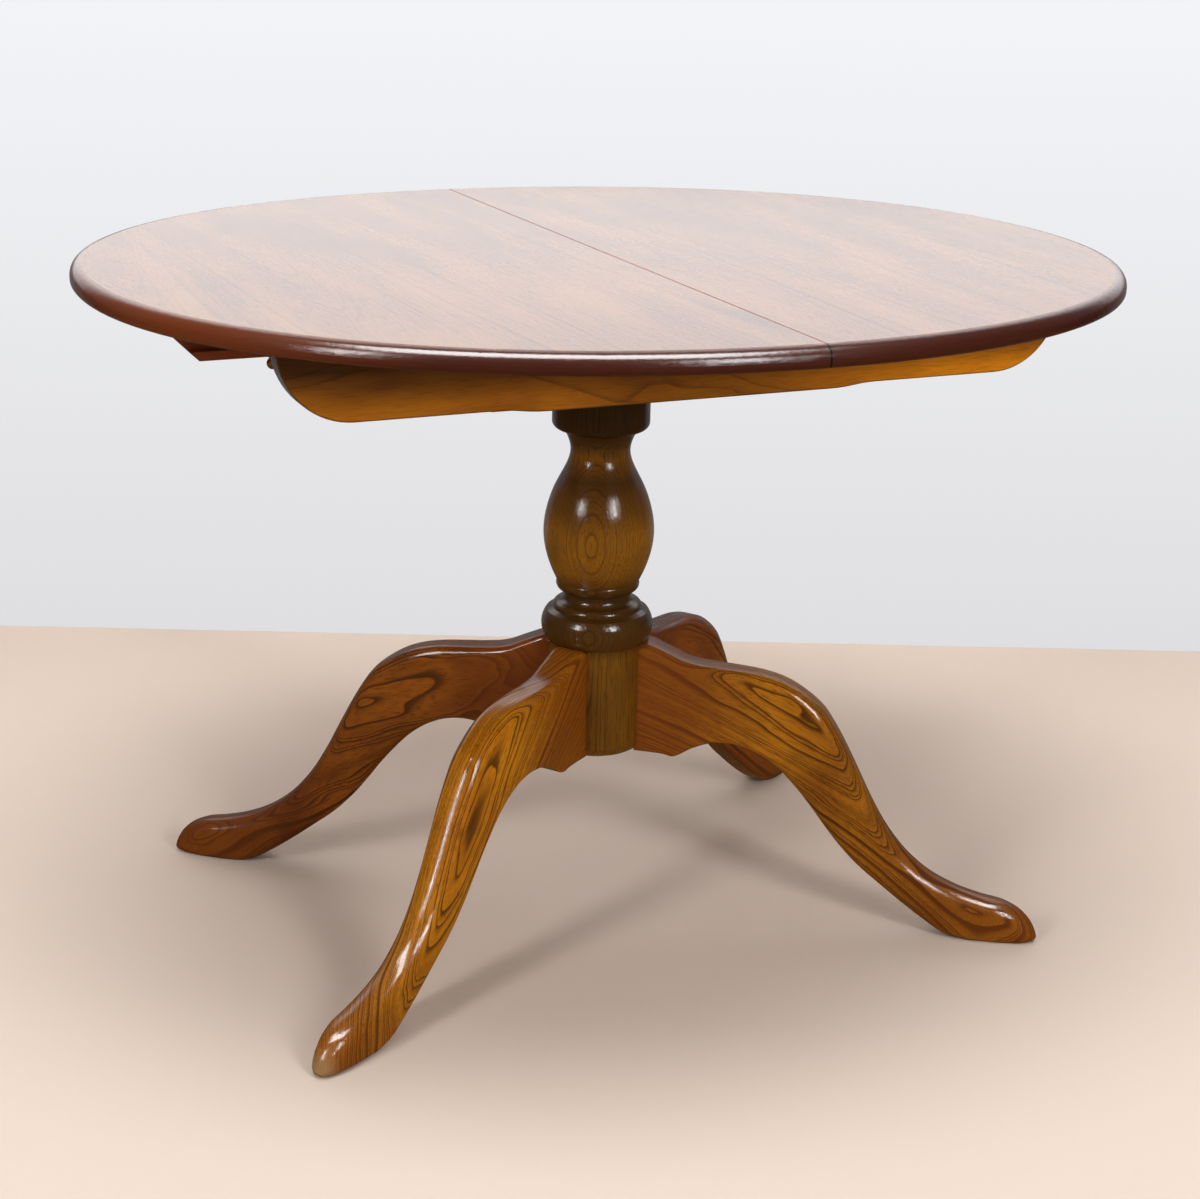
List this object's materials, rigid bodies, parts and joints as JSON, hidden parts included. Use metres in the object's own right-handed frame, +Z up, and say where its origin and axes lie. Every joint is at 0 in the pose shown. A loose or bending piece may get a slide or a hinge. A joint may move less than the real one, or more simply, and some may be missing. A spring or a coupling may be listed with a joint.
{
  "type": "extending dining table",
  "caption": "Oval pedestal dining table with a turned column and sabre legs; its halved top slides apart over a shallow frame to take a folded leaf stored inside.",
  "frame": {"origin": "on the floor under the middle of the closed table, on the column's axis", "axes": "+X along the slide, towards the right half; +Z up; -Y towards the front of the picture"},
  "size_m": [1.07, 0.964, 0.72],
  "materials": {
    "elm_top": "polished, dark red-brown",
    "elm_legs": "polished, golden brown",
    "elm_column": "polished, brown",
    "elm_rails": "polished, amber brown",
    "elm_bearers": "satin, red-brown",
    "elm_leaf": "polished, dark red-brown",
    "beech": "bare",
    "plywood": "bare",
    "brass": "polished, a little tarnished",
    "steel_screws": "plain"
  },
  "bodies": {
    "base": {"bolt_keeps": "brass", "column": "elm_column", "cross_rail_left": "beech", "cross_rail_right": "beech", "end_rail_dowels": "beech", "end_rail_left": "beech", "end_rail_right": "beech", "fixed_stops": "beech", "frame_dowels": "beech", "leaf_hinge_lower": "brass", "leaf_hinge_pins": "brass", "leaf_hinge_screws": "brass", "leaf_hinge_upper": "brass", "leaf_lower": "elm_leaf", "leaf_upper": "elm_leaf", "leg_back_left": "elm_legs", "leg_back_right": "elm_legs", "leg_front_left": "elm_legs", "leg_front_right": "elm_legs", "plate_screws": "steel_screws", "runner_back": "beech", "runner_front": "beech", "runner_screws": "steel_screws", "side_rail_back": "elm_rails", "side_rail_front": "elm_rails", "top_plate": "beech", "tray": "plywood", "tray_battens": "beech"},
    "left_half": {"top_left": "elm_top", "bearer_left_front": "elm_bearers", "bearer_left_back": "elm_bearers", "bearer_screws_left": "steel_screws", "stop_blocks_left": "beech", "bolt_barrel_left": "brass", "bolt_screws_left": "brass"},
    "right_half": {"top_right": "elm_top", "bearer_right_front": "elm_bearers", "bearer_right_back": "elm_bearers", "bearer_screws_right": "steel_screws", "stop_blocks_right": "beech", "seam_dowels": "beech", "bolt_barrel_right": "brass", "bolt_screws_right": "brass"},
    "bolt_left": {"bolt_left": "brass"},
    "bolt_right": {"bolt_right": "brass"}
  },
  "joints": [
    {"name": "left_slide", "type": "slide", "parent": "base", "child": "left_half", "axis": [-1, 0, 0], "range_m": [0, 0.19]},
    {"name": "right_slide", "type": "slide", "parent": "base", "child": "right_half", "axis": [1, 0, 0], "range_m": [0, 0.19]},
    {"name": "left_bolt_slide", "type": "slide", "parent": "left_half", "child": "bolt_left", "axis": [0, -1, 0], "range_m": [0, 0.0105]},
    {"name": "right_bolt_slide", "type": "slide", "parent": "right_half", "child": "bolt_right", "axis": [0, 1, 0], "range_m": [0, 0.0105]}
  ]
}
